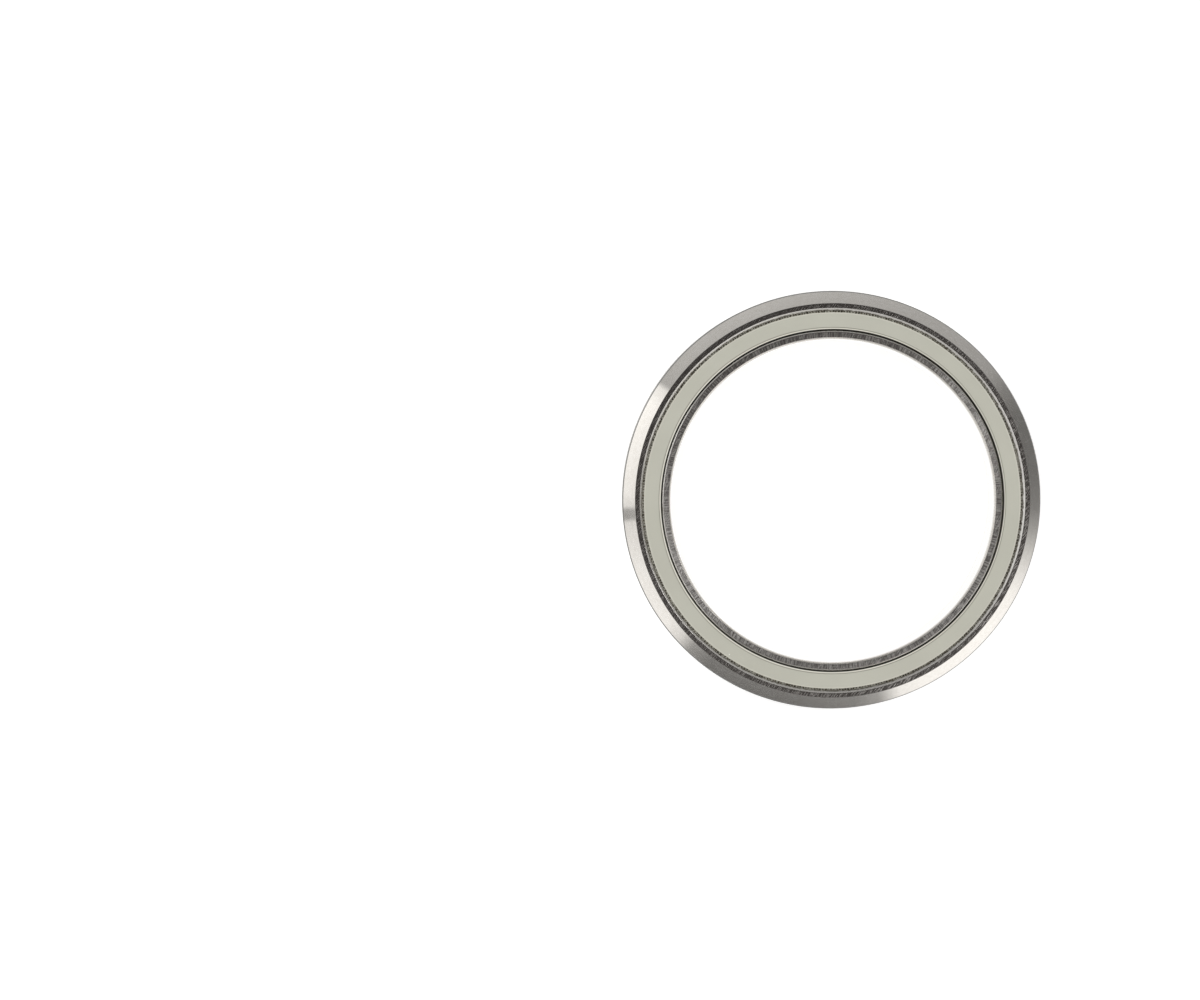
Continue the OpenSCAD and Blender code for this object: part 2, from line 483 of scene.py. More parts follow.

# %% [markdown]
# ## Rubber
#
# The seals are moulded in a sage grey rubber, matte and nearly flat in tone, with slow clouds and a grain
# finer than the eye sees. The thin lip at the inner edge is paler, a painted highlight on its rounded edge,
# with a moulded line beside it that is darkened as painted shade. The outer edge has a paler rim, a painted
# edge highlight. All of this follows the distance from the axis, so masks on that distance make it, with no
# picture. A dark band over the lip, wider on one side, is painted shade of the gap beside it, and a single
# pale speck sits on the rubber.

# %% The seals' rubber
RUBBER = (0.505, 0.501, 0.433, 1.0)
RUBBER_DEEP = (0.480, 0.476, 0.410, 1.0)
RUBBER_HIGHLIGHT = (0.72, 0.70, 0.62, 1.0)
RUBBER_GROOVE_SHADE = (0.30, 0.295, 0.25, 1.0)
GAP_SHADE = (0.10, 0.095, 0.08, 1.0)
GAP_SHADE_TOWARDS = 20.0
SPECK = (0.85, 0.84, 0.79, 1.0)
SPECK_R = 22.9
SPECK_AT = math.radians(-123.7)
SPECK_SIZE = 0.09


def seal_rubber(name, inner_r, outer_r):
    """Moulded rubber between two radii, in mm."""
    finish = Finish(name, Specular_IOR_Level=0.35)
    radius = finish.radius()
    in_mm = radius / MM
    line_r = inner_r + (RIB_START + RIB_END) / 2 + 0.02
    # Painted highlight: the lip's rounded edge is paler, as where it catches the light.
    lip_highlight = band(in_mm, (inner_r + 0.02, inner_r + 0.06), (inner_r + 0.12, inner_r + RIB_START))
    # Painted shade: the moulded groove is darkened as if shade lay in it.
    groove_shade = band(in_mm, (line_r - 0.06, line_r - 0.02), (line_r + 0.02, line_r + 0.06))
    # Painted highlight: a paler rim along the outer edge.
    edge_highlight = in_mm.smooth(outer_r - 0.2, outer_r - 0.08) * 0.35
    # Painted shade: a dark band at the inner edge, wider on one side, stands for the shade of the gap beside
    # it.
    gap_shade_shift = finish.towards(GAP_SHADE_TOWARDS) / radius * 0.045 + 0.01
    gap_shade = 1 - (in_mm - gap_shade_shift).smooth(inner_r, inner_r + 0.05)

    place = (SPECK_R * MM * math.cos(SPECK_AT), SPECK_R * MM * math.sin(SPECK_AT), SEAL_TOP * MM)
    ends = {0: finish.place, 1: place}
    away = finish.add("VectorMath", {"operation": "DISTANCE"}, ends, output="Value")
    speck = 1 - (away / (MM * SPECK_SIZE)).smooth(0.6, 1.0)

    clouds = finish.noise(finish.place, 160.0, detail=3.0).smooth(0.25, 0.75)
    grain = finish.noise(finish.place, 9000.0)
    body = finish.mix(clouds, RUBBER_DEEP, RUBBER)
    body = finish.mix(lip_highlight + edge_highlight, body, RUBBER_HIGHLIGHT)
    body = finish.mix(groove_shade * 0.7, body, RUBBER_GROOVE_SHADE)
    body = finish.mix(gap_shade * 0.9, body, GAP_SHADE)
    return finish.done(
        Base_Color=finish.mix(speck * 0.9, body, SPECK),
        Roughness=0.62 + grain * 0.14,
        Normal=finish.bump(grain, 4e-6, 0.3),
    )


top_rubber = seal_rubber("top_seal_rubber", LABYRINTH_R + SEAL_GAP, TOP_LIP_R - RIM_GAP)
bottom_rubber = seal_rubber("bottom_seal_rubber", INNER_HIGH_R + SEAL_GAP, BOTTOM_LIP_R - RIM_GAP)

# %% [markdown]
# ## Nylon and grease
#
# The cage is natural nylon: cream, faintly clouded, with the moulding's matte skin. The grease in the gap
# round the seal is dark brown with paler crumbs, its darkness partly painted shade of the gap. Both need
# only two colours and a noise between them.

# %% Nylon and grease
NYLON = (0.80, 0.71, 0.50, 1.0), (0.85, 0.78, 0.60, 1.0)
GREASE_AND_GAP_SHADE = (0.045, 0.036, 0.024, 1.0), (0.20, 0.17, 0.125, 1.0)


def moulded_nylon(name):
    finish = Finish(name)
    clouds = finish.noise(finish.place, 500.0)
    grain = finish.noise(finish.place, 12000.0, detail=1.0)
    return finish.done(Base_Color=finish.mix(clouds, *NYLON), Roughness=0.42 + grain * 0.12)


nylon = moulded_nylon("cage_nylon")
# Painted shade: the dark brown of these blobs fills the narrow gap where shade lies, in a grease tone.
gap_grease = two_tone_patches("gap_grease", GREASE_AND_GAP_SHADE, 5200.0, (0.35, 0.3), soft=(0.42, 0.62))

# %% [markdown]
# ## Sections
#
# A section is a list of corners, each with the finish of the face that leaves it and how far the corner is
# rounded. A face may be an arc, as the raceways are. A Bevel modifier would round every corner of a turned
# mesh by one width. `section_points` gives each its own, with exact outward directions, so that a flat face
# shades flat right up to its softened edge.


# %% Corners of a section
class Corner:
    """A corner of a section, at radius r and height z in mm, with the finish of the face that leaves it."""

    def __init__(self, r, z, finish, soft=0.03, arc_centre=None):
        self.at = Vector((r, z))
        self.finish = finish
        self.soft = soft
        self.arc_centre = Vector(arc_centre) if arc_centre else None


ARC_STEPS = 20
SOFT_STEPS = 4


def face_points(corner, following):
    """The points of one face, without its rounded corners, as (place, outward direction)."""
    start, end = corner.at, following.at
    if corner.arc_centre is None:
        along = (end - start).normalized()
        outward = Vector((along.y, -along.x))
        return [(start + along * corner.soft, outward), (end - along * following.soft, outward)]
    centre = corner.arc_centre
    radius = (start - centre).length
    from_angle = math.atan2(*reversed(start - centre))
    to_angle = math.atan2(*reversed(end - centre))
    sweep = (to_angle - from_angle + math.pi) % TAU - math.pi
    side = math.copysign(1, sweep)
    from_angle += side * corner.soft / radius
    to_angle = from_angle + sweep - side * (corner.soft + following.soft) / radius
    points = []
    for step in range(ARC_STEPS + 1):
        angle = from_angle + (to_angle - from_angle) * step / ARC_STEPS
        out = Vector((math.cos(angle), math.sin(angle)))
        points.append((centre + out * radius, out * side))
    return points


def section_points(corners):
    """All the points of a section as (place, outward direction, finish of the stretch that leaves it)."""
    faces = [face_points(*pair) for pair in zip(corners, corners[1:] + corners[:1])]
    points = []
    for i, corner in enumerate(corners):
        before = faces[i - 1][-1][0]
        after = faces[i][0][0]
        for step in range(1, SOFT_STEPS):
            t = step / SOFT_STEPS
            place = (1 - t) ** 2 * before + 2 * t * (1 - t) * corner.at + t * t * after
            along = (1 - t) * (corner.at - before) + t * (after - corner.at)
            points.append((place, Vector((along.y, -along.x)).normalized(), corner.finish))
        points += [(place, outward, corner.finish) for place, outward in faces[i]]
    return points


def on_arc(centre, r, upper):
    """The height at which the circle of a raceway crosses radius r."""
    rise = math.sqrt(GROOVE_R**2 - (r - centre[0]) ** 2)
    return centre[1] + (rise if upper else -rise)


print(f"each arc has {ARC_STEPS} steps and each rounded corner {SOFT_STEPS}")

# %% [markdown]
# ## Geometry Nodes from a script
#
# A tree is written here as a shader is: `add` puts in a node and feeds its inputs by name. The named inputs
# of the tree itself are set on the modifier by the identifier of their socket, before it is first evaluated.
# Only the result is kept, as a plain piece.


# %% A tree and its nodes
class Tree:
    """A Geometry Nodes tree with a mesh going in and out, and named inputs given as (name, kind)."""

    def __init__(self, name, inputs):
        self.group = bpy.data.node_groups.new(name, "GeometryNodeTree")
        for socket, kind in [("Geometry", "Geometry"), *inputs]:
            self.group.interface.new_socket(socket, in_out="INPUT", socket_type="NodeSocket" + kind)
        self.group.interface.new_socket("Geometry", in_out="OUTPUT", socket_type="NodeSocketGeometry")
        self.given = self.group.nodes.new("NodeGroupInput").outputs
        self.result = self.group.nodes.new("NodeGroupOutput").inputs["Geometry"]

    def feed(self, socket, value):
        if isinstance(value, bpy.types.NodeSocket):
            self.group.links.new(value, socket)
        else:
            socket.default_value = value

    def add(self, kind, settings=None, **values):
        """The first output of a new node, whose inputs are given by name."""
        node = self.group.nodes.new(kind)
        for name, value in (settings or {}).items():
            setattr(node, name, value)
        for name, value in values.items():
            wanted = name.replace("_", " ")
            self.feed(next(s for s in node.inputs if s.name == wanted and s.enabled), value)
        return next(s for s in node.outputs if s.enabled)

    def math(self, kind, operation, first, second):
        """One sum on two numbers or vectors, by the Math node of this kind."""
        node = self.group.nodes.new(kind)
        node.operation = operation
        self.feed(node.inputs[0], first)
        self.feed(node.inputs[1], second)
        return node.outputs[0]

    def whole(self, operation, first, second):
        return self.math("FunctionNodeIntegerMath", operation, first, second)


def grown(name, mesh, tree, inputs):
    """The plain piece that a tree makes of a mesh and its named inputs."""
    carrier = bpy.data.objects.new(name + "_carrier", mesh)
    bpy.context.scene.collection.objects.link(carrier)
    modifier = carrier.modifiers.new("tree", "NODES")
    modifier.node_group = tree.group
    for socket in tree.group.interface.items_tree:
        if socket.name in inputs:
            modifier[socket.identifier] = inputs[socket.name]
    graph = bpy.context.evaluated_depsgraph_get()
    result = bpy.data.meshes.new_from_object(carrier.evaluated_get(graph), depsgraph=graph)
    result.name = name
    if result.materials[0] is None:
        result.materials.pop(index=0)
    bpy.data.objects.remove(carrier)
    bpy.data.meshes.remove(mesh)
    piece = bpy.data.objects.new(name, result)
    bpy.context.scene.collection.objects.link(piece)
    return piece


# %% [markdown]
# ## Turning a section
#
# Every ring of this bearing is one section swept round the axis, so one tree makes them all. A grid is
# numbered by its points: each column is one step of the turn, and each row is one point of the section,
# looked up by its index. The last column and row merge onto the first ones, so the ring closes with no
# seam. The Screw modifier turns a section too, but it would lose the outward directions.


# %% The tree that turns a ring
def looked_up(tree, section, index, kind, name=None):
    """The value of the section's point with this index: its position, or a named attribute."""
    settings = {"data_type": kind}
    if name:
        value = tree.add("GeometryNodeInputNamedAttribute", settings, Name=name)
    else:
        value = tree.add("GeometryNodeInputPosition")
    return tree.add("GeometryNodeSampleIndex", settings, Geometry=section, Value=value, Index=index)


def turned_ring_tree(finishes):
    """Sweeps the section that goes in round the Z axis, in the given number of steps."""
    tree = Tree("Turned ring", [("Steps", "Int")])
    section, steps = tree.given["Geometry"], tree.given["Steps"]
    count = tree.add("GeometryNodeAttributeDomainSize", Geometry=section)
    rows = tree.whole("ADD", count, 1)
    columns = tree.whole("ADD", steps, 1)
    grid = tree.add("GeometryNodeMeshGrid", Vertices_X=columns, Vertices_Y=rows)

    index = tree.add("GeometryNodeInputIndex")
    column = tree.whole("DIVIDE_FLOOR", index, rows)
    row = tree.whole("MODULO", tree.whole("MODULO", index, rows), count)
    part_turn = tree.math("ShaderNodeMath", "DIVIDE", column, steps)
    angle = tree.math("ShaderNodeMath", "MULTIPLY", part_turn, TAU)

    spin = {"rotation_type": "Z_AXIS"}
    place = looked_up(tree, section, row, "FLOAT_VECTOR")
    place = tree.add("ShaderNodeVectorRotate", spin, Vector=place, Angle=angle)
    outward = looked_up(tree, section, row, "FLOAT_VECTOR", "outward")
    outward = tree.add("ShaderNodeVectorRotate", spin, Vector=outward, Angle=angle)
    ring = tree.add("GeometryNodeSetPosition", Geometry=grid, Position=place)
    vectors = {"data_type": "FLOAT_VECTOR"}
    ring = tree.add("GeometryNodeStoreNamedAttribute", vectors, Geometry=ring, Name="outward", Value=outward)

    # Faces are numbered like points, but with one row fewer in each column
    face_row = tree.whole("MODULO", index, count)
    finish_of_face = looked_up(tree, section, face_row, "INT", "finish")
    equal = {"data_type": "INT", "operation": "EQUAL"}
    for number, material in enumerate(finishes):
        same = tree.add("FunctionNodeCompare", equal, A=finish_of_face, B=number)
        ring = tree.add("GeometryNodeSetMaterial", Geometry=ring, Selection=same, Material=material)

    ring = tree.add("GeometryNodeMergeByDistance", Geometry=ring, Distance=MM * 1e-5)
    ring = tree.add("GeometryNodeSetShadeSmooth", Geometry=ring)
    tree.feed(tree.result, tree.add("GeometryNodeRealizeInstances", Geometry=ring))
    return tree


# %% [markdown]
# The section itself is a thread of points in the XZ plane that carries two facts for the tree: the outward
# direction at each point and the number of its finish. The directions then become the piece's normals.

# %% Turning one piece
TURN_STEPS = 360


def section_mesh(name, points, finishes):
    """The closed thread of a section's points, with their outward directions and finishes."""
    count = len(points)
    places = [(place.x * MM, 0.0, place.y * MM) for place, _, _ in points]
    mesh = bpy.data.meshes.new(name + "_section")
    mesh.from_pydata(places, [(i, (i + 1) % count) for i in range(count)], [])
    mesh.attributes.new("outward", "FLOAT_VECTOR", "POINT")
    mesh.attributes.new("finish", "INT", "POINT")
    for i, (_, out, finish) in enumerate(points):
        mesh.attributes["outward"].data[i].vector = (out.x, 0.0, out.y)
        mesh.attributes["finish"].data[i].value = finishes.index(finish)
    return mesh


def turned_piece(name, corners):
    """The ring or seal with this section."""
    points = section_points(corners)
    finishes = sorted({corner.finish for corner in corners}, key=lambda finish: finish.name)
    section = section_mesh(name, points, finishes)
    piece = grown(name, section, turned_ring_tree(finishes), {"Steps": TURN_STEPS})
    mesh = piece.data
    normals = [v.vector.normalized() for v in mesh.attributes["outward"].data]
    face = mesh.polygons[0]
    if face.normal.dot(normals[face.vertices[0]]) < 0:
        mesh.flip_normals()
    mesh.normals_split_custom_set_from_vertices(normals)
    mesh.attributes.remove(mesh.attributes["outward"])
    print(f"{name}: {len(points)} section points, {len(mesh.polygons)} faces, {len(finishes)} finishes")
    return piece


# %% [markdown]
# ## The outer ring
#
# From the top: a wide bevel that seats in the head tube, a narrow ground land, the bright chamfer at the
# mouth of the seal's seat, and the groove that holds the seal's bead. Inside is the deep raceway shoulder,
# and below the balls a low one that they snap past when the bearing is put together. The real ring is
# turned in a lathe, and this one is made the same way, from its section.


# %% Outer ring
def seat_mouth(lip_r, from_top):
    """Corners of a seal's seat, from the face inwards: chamfer, lip, bead groove and ledge."""
    rows = [
        (lip_r + MOUTH_CHAMFER, 0.0, mouth_steel, 0.035),
        (lip_r, MOUTH_CHAMFER, wall_steel, 0.025),
        (lip_r, LIP_DEPTH, wall_steel, 0.02),
        (lip_r + BEAD_GRIP, LIP_DEPTH + LIP_SLOPE, wall_steel, 0.02),
        (lip_r + BEAD_GRIP, LEDGE_DEPTH, wall_steel, 0.02),
    ]
    if from_top:
        return [Corner(r, WIDTH - depth, finish, soft) for r, depth, finish, soft in rows]
    # Walked the other way, each corner is left by the face that arrived at it
    finishes = [outer_bottom_steel, mouth_steel, wall_steel, wall_steel, wall_steel]
    return [Corner(r, depth, finish, soft) for (r, depth, _, soft), finish in zip(rows, finishes)][::-1]


top, bottom = OUTER_HIGH_R, OUTER_LOW_R
outer_corners = [
    Corner(OUTER_R - EDGE_BREAK, 0.0, mouth_steel, 0.05),
    Corner(OUTER_R, EDGE_BREAK, wall_steel, 0.05),
    Corner(OUTER_R, WIDTH - OUTER_BEVEL - RIM_BREAK, rim_steel),
    Corner(OUTER_R - RIM_BREAK, WIDTH - OUTER_BEVEL + RIM_BREAK, bevel_steel),
    Corner(OUTER_R - OUTER_BEVEL, WIDTH, land_steel, 0.04),
    *seat_mouth(TOP_LIP_R, from_top=True),
    Corner(top, WIDTH - LEDGE_DEPTH, wall_steel, 0.0015),
    Corner(top, on_arc(OUTER_GROOVE, top, True), race_steel, arc_centre=OUTER_GROOVE),
    Corner(bottom, on_arc(OUTER_GROOVE, bottom, False), wall_steel),
    Corner(bottom, LEDGE_DEPTH, wall_steel),
    *seat_mouth(BOTTOM_LIP_R, from_top=False),
]
outer_steel = turned_piece("outer_ring_steel", outer_corners)
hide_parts("outer_ring")
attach(outer_steel, "outer")

# %% [markdown]
# ## The inner ring
#
# Its top face is the wide dark band inside the seal. The bevel that sits on the crown race is round the
# bottom of the bore, and does not show from above. The step behind the seal's lip makes the dark gap between
# the two. It is turned from its own section, which keeps its gaps to the seals exact.


# %% Inner ring
high, low = INNER_HIGH_R, INNER_LOW_R
inner_corners = [
    Corner(BORE_R, SETBACK + INNER_BEVEL, bevel_steel, 0.045),
    Corner(BORE_R + INNER_BEVEL, SETBACK, inner_bottom_steel, 0.04),
    Corner(high - INNER_CHAMFER, SETBACK, chamfer_steel),
    Corner(high, SETBACK + INNER_CHAMFER, wall_steel),
    Corner(high, on_arc(INNER_GROOVE, high, False), race_steel, arc_centre=INNER_GROOVE),
    Corner(low, on_arc(INNER_GROOVE, low, True), wall_steel),
    Corner(low, LABYRINTH_Z - LABYRINTH_STEP, wall_steel),
    Corner(LABYRINTH_R, LABYRINTH_Z, gap_steel),
    Corner(LABYRINTH_R, INNER_TOP - INNER_CHAMFER, seal_edge_steel, 0.05),
    Corner(LABYRINTH_R - INNER_CHAMFER, INNER_TOP, inner_face_steel, 0.08),
    Corner(BORE_R + EDGE_BREAK, INNER_TOP, chamfer_steel, 0.04),
    Corner(BORE_R, INNER_TOP - EDGE_BREAK, bore_steel, 0.22),
]
inner_steel = turned_piece("inner_ring_steel", inner_corners)
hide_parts("inner_ring")
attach(inner_steel, "inner")

# %% [markdown]
# ## The seals
#
# Each seal is a flat rubber washer. Its bead is pushed under the outer ring's lip, and its inner lip hangs
# close to the ring that turns. A fine moulded line runs just inside the inner edge. A bump could fake it,
# but it is cut into the section, so that the mesh has it too.


# %% Seals
def seal_corners(rubber, lip_r, foot_r, turning_r, from_top):
    """Corners of a seal, from its inner edge round by the outer bead, whose foot starts at foot_r."""
    inner = turning_r + SEAL_GAP
    outer = lip_r - RIM_GAP
    bead = lip_r + BEAD_GRIP - SEAL_FIT
    foot = LEDGE_DEPTH - SEAL_FIT
    neck = LIP_DEPTH + SEAL_FIT
    back = SEAL_RECESS + SEAL_T
    rows = [
        (inner, SEAL_RECESS, 0.025),
        (inner + RIB_START, SEAL_RECESS, 0.018),
        (inner + RIB_START, SEAL_RECESS + RIB_DEPTH, 0.012),
        (inner + RIB_END, SEAL_RECESS + RIB_DEPTH, 0.012),
        (inner + RIB_END, SEAL_RECESS, 0.018),
        (outer, SEAL_RECESS, 0.05),
        (outer, neck, 0.03),
        (lip_r, neck, 0.03),
        (bead, neck + LIP_SLOPE, 0.03),
        (bead, foot, 0.05),
        (foot_r, foot, 0.05),
        (foot_r, back, 0.05),
        (inner + LIP_W + LIP_DROP, back, 0.04),
        (inner + LIP_W, back + LIP_DROP, 0.03),
        (inner, back + LIP_DROP, 0.03),
    ]
    if from_top:
        return [Corner(r, WIDTH - depth, rubber, soft) for r, depth, soft in rows][::-1]
    return [Corner(r, depth, rubber, soft) for r, depth, soft in rows]


top_foot_r = min(OUTER_HIGH_R, TOP_LIP_R) - CAGE_GAP + SEAL_GAP
top_corners = seal_corners(top_rubber, TOP_LIP_R, top_foot_r, LABYRINTH_R, from_top=True)
top_seal = turned_piece("top_seal_piece", top_corners)
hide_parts("top_seal")
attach(top_seal, "outer")

bottom_foot_r = OUTER_LOW_R - BEAD_OVERHANG
bottom_corners = seal_corners(bottom_rubber, BOTTOM_LIP_R, bottom_foot_r, INNER_HIGH_R, from_top=False)
bottom_seal = turned_piece("bottom_seal_piece", bottom_corners)
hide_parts("bottom_seal")
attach(bottom_seal, "outer")

# %% [markdown]
# ## Grease and crumbs in the gap
#
# The narrow gap between the seal and the outer ring's chamfer is never clean. Dark brown blobs fill its
# floor, grease in tone and painted shade of the narrow gap in their darkness, and crumbs of rubber flash
# break its edge. There are hundreds, too many to model one by one, so a tree scatters flattened blobs round
# the circle from a fixed seed, each with its own turn, size and small shift.

# %% The tree that scatters crumbs round a circle
CRUMB_LENGTHS = ("Circle radius", "Height", "Wander", "Smallest", "Largest")


def crumb_tree(material):
    """Blobs round a circle, wandering across it and varying in size."""
    inputs = [("Count", "Int"), *[(length, "Float") for length in CRUMB_LENGTHS], ("Seed", "Int")]
    tree = Tree("Crumbs round a circle", inputs)
    count, radius, height, wander, smallest, largest, seed = [tree.given[name] for name, _ in inputs]
    circle = tree.add("GeometryNodeMeshCircle", Vertices=count, Radius=radius)
    points = tree.add("GeometryNodeMeshToPoints", Mesh=circle)

    random = "FunctionNodeRandomValue"
    vectors, numbers = {"data_type": "FLOAT_VECTOR"}, {"data_type": "FLOAT"}
    back = tree.math("ShaderNodeMath", "MULTIPLY", wander, -1.0)
    low = tree.add("ShaderNodeCombineXYZ", X=back, Y=back, Z=height)
    high = tree.add("ShaderNodeCombineXYZ", X=wander, Y=wander, Z=height)
    shift = tree.add(random, vectors, Min=low, Max=high, Seed=seed)
    points = tree.add("GeometryNodeSetPosition", Geometry=points, Offset=shift)

    size = tree.add(random, numbers, Min=smallest, Max=largest, Seed=seed)
    flattened = tree.math("ShaderNodeVectorMath", "MULTIPLY", size, (1.5, 1.0, 0.6))
    spin = tree.add(random, vectors, Max=(0.0, 0.0, TAU), Seed=seed)
    turn = tree.add("FunctionNodeEulerToRotation", Euler=spin)
    blob = tree.add("GeometryNodeMeshIcoSphere", Radius=1.0, Subdivisions=2)
    blobs = tree.add(
        "GeometryNodeInstanceOnPoints", Points=points, Instance=blob, Rotation=turn, Scale=flattened
    )
    blobs = tree.add("GeometryNodeRealizeInstances", Geometry=blobs)
    blobs = tree.add("GeometryNodeSetShadeSmooth", Geometry=blobs)
    tree.feed(tree.result, tree.add("GeometryNodeSetMaterial", Geometry=blobs, Material=material))
    return tree


def crumbs(name, material, count, at, wander, sizes, seed):
    """A ring of crumbs. at is its radius and height; it, wander and sizes are in mm."""
    inputs = {"Count": count, "Seed": seed}
    for length, value in zip(CRUMB_LENGTHS, (*at, wander, *sizes)):
        inputs[length] = value * MM
    piece = grown(name, bpy.data.meshes.new(name + "_start"), crumb_tree(material), inputs)
    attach(piece, "outer")
    print(f"{name}: {count} crumbs, {len(piece.data.polygons)} faces")


in_gap = (TOP_LIP_R - RIM_GAP / 2, WIDTH - LIP_DEPTH - SEAL_FIT + 0.05)
on_edge = (TOP_LIP_R - RIM_GAP, SEAL_TOP - 0.06)
# Painted shade: dark blobs fill the floor of the gap.
crumbs("gap_grease_blobs", gap_grease, 420, in_gap, wander=0.05, sizes=(0.05, 0.12), seed=4)
crumbs("seal_flash_crumbs", top_rubber, 150, on_edge, wander=0.015, sizes=(0.015, 0.045), seed=9)

# %% [markdown]
# ## The pieces that stay
#
# The balls and the cage are sealed in, so softer edges would never show. They keep the part's own meshes
# and only take a finish. Each ball stays on its own body, because each turns about its own axis.


# %% Balls and cage
def refinish(node, material):
    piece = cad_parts[node]
    piece.data.materials.clear()
    piece.data.materials.append(material)


balls = [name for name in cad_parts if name.startswith("ball_")]
for ball in balls:
    refinish(ball, ball_steel)
refinish("cage", nylon)
print(f"{len(balls)} balls and the cage have their finish")

# %% [markdown]
# ## The studio
#
# Bare steel shows its surroundings more than itself, and lamps alone would leave it black with white spots.
# So cards stand round it. They are seen in reflections only, and hardly change the dull rubber beside the
# steel.

# %% Cards that only reflections see
WHITE = (1.0, 1.0, 1.0, 1.0)
ALL_RAYS = ("camera", "diffuse", "glossy", "transmission", "shadow")


def stage_material(name):
    """A material with an empty tree, at which no light rays are aimed."""
    material = bpy.data.materials.new(name)
    material.cycles.emission_sampling = "NONE"
    material.use_nodes = True
    material.node_tree.nodes.clear()
    return material, Nodes(material.node_tree)


def glow(name, strength=1.0, colour=WHITE, attribute=None):
    """A material that only shines, evenly or as a mesh attribute says."""
    material, nodes = stage_material(name)
    if attribute:
        strength = nodes.add("Attribute", {"attribute_name": attribute}, {}, "Fac")
    light = nodes.add("Emission", {}, {"Color": colour, "Strength": strength})
    nodes.add("OutputMaterial", {}, {"Surface": light})
    return material


def stage_piece(name, points, faces, material, seen_by=("glossy",)):
    """A piece of the studio that only the named kinds of ray see. Its points are in mm."""
    mesh = bpy.data.meshes.new(name)
    mesh.from_pydata([tuple(c * MM for c in p) for p in points], [], faces)
    mesh.materials.append(material)
    piece = bpy.data.objects.new(name, mesh)
    bpy.context.scene.collection.objects.link(piece)
    for ray in ALL_RAYS:
        setattr(piece, "visible_" + ray, ray in seen_by)
    piece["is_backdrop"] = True
    print(f"{name}: {len(faces)} faces, seen by {', '.join(seen_by)} rays")
    return piece


def graded_card(name, points, faces, levels, colour=WHITE):
    """A card that is as bright at each of its points as levels says."""
    piece = stage_piece(name, points, faces, glow(name + "_light", colour=colour, attribute="level"))
    attribute = piece.data.attributes.new("level", "FLOAT", "POINT")
    attribute.data.foreach_set("value", levels)


# %% [markdown]
# A low wall stands round the ring in two bands. The outer bevel mirrors the low band on its own side, while
# the chamfer at the seal's mouth and the break of the bore mirror the high band across the ring. The levels
# change with the direction, so the highlights stay in place when the ring turns. A picture could hold them,
# but a mesh attribute needs no file.
#
# Both lists of levels are a fit to one photograph. Its brightness was measured every 2 to 10 degrees round
# the bevel and the chamfers, and the levels were typed from that and corrected until the highlights they
# make agreed with it. So they are no guide to another ring or another room, where a few even cards would do.

# %% The wall round the ring
WALL_R = 36.0
WALL_LOW = (0.0, 9.0)
WALL_HIGH = (10.0, 30.0)
WALL_STEPS = 720

# Brightness of each band as (direction, level), in degrees anticlockwise from +X, the right of the view
LOW_LIGHTS = (
    # Right, and up to the top: dim, then slowly paler
    (0, 0.28), (8, 0.20), (23, 0.17), (31, 0.29), (38, 0.49), (52, 0.59), (75, 0.70), (112, 0.85),
    # Upper left: a bright side that starts at a hard edge
    (137, 0.78), (145, 0.68), (146.5, 1.55), (152, 1.88), (179, 1.5),
    # A narrow dark post at the left, and the bright side again
    (182.5, 1.2), (183.5, 0.5), (186, 0.5), (187, 1.2), (202, 1.54), (218, 1.60), (224, 1.20),
    # Bottom: the darkest stretch
    (228, 0.44), (235, 0.20), (262, 0.18), (278, 0.27), (285, 0.48),
    # Lower right: the second bright side
    (291, 1.50), (298, 1.68), (318, 1.75), (333, 1.60), (341, 1.20), (351, 0.55), (357, 0.31), (360, 0.28),
)
HIGH_LIGHTS = (
    # Right and top: dim
    (0, 0.3), (20, 0.45), (45, 0.5), (60, 0.4), (90, 0.28), (120, 0.38), (140, 0.55),
    # Left and bottom: paler
    (160, 0.85), (185, 1.0), (200, 0.75), (225, 0.68), (260, 0.85), (285, 1.0),
    # Lower right: brightest
    (300, 1.25), (325, 1.6), (338, 1.3), (350, 0.6), (360, 0.3),
)


def light_towards(lights, degrees):
    """The brightness in one direction, straight between the listed ones."""
    for (start, first), (end, last) in zip(lights, lights[1:]):
        if degrees <= end:
            return first + (last - first) * (degrees - start) / (end - start)


points, levels = [], []
for step in range(WALL_STEPS):
    angle = TAU * step / WALL_STEPS
    for lights, heights in ((LOW_LIGHTS, WALL_LOW), (HIGH_LIGHTS, WALL_HIGH)):
        for height in heights:
            points.append((WALL_R * math.cos(angle), WALL_R * math.sin(angle), height))
            levels.append(light_towards(lights, step * 360 / WALL_STEPS))
count = len(points)
column = len(WALL_LOW + WALL_HIGH)
faces = []
for start in range(0, count, column):
    for row in range(start, start + column - 1):
        faces.append((row, (row + column) % count, (row + column + 1) % count, row + 1))
graded_card("stage_wall", points, faces, levels)

# %% [markdown]
# A dim square card hangs overhead, where the flat faces mirror the room to the camera. It pales towards one
# side, as a room does towards its window. Two bright discs below it stand for lit windows, and make the bows
# on the inner ring's face. A glowing disc lies in the bore, brighter than paper, for its wall to mirror.

# %% The overhead card
CARD_Z = 250.0
CARD_AT = (22.5, -12.0)
CARD_HALF = 210.0
CARD_CELLS = 42
CARD_COLOUR = (1.0, 0.95, 0.92, 1.0)
CARD_LEVEL, CARD_LOWEST = 0.185, 0.05
CARD_RISE = 0.0008  # for each mm towards the pale side
PALER_TOWARDS = math.radians(-62)

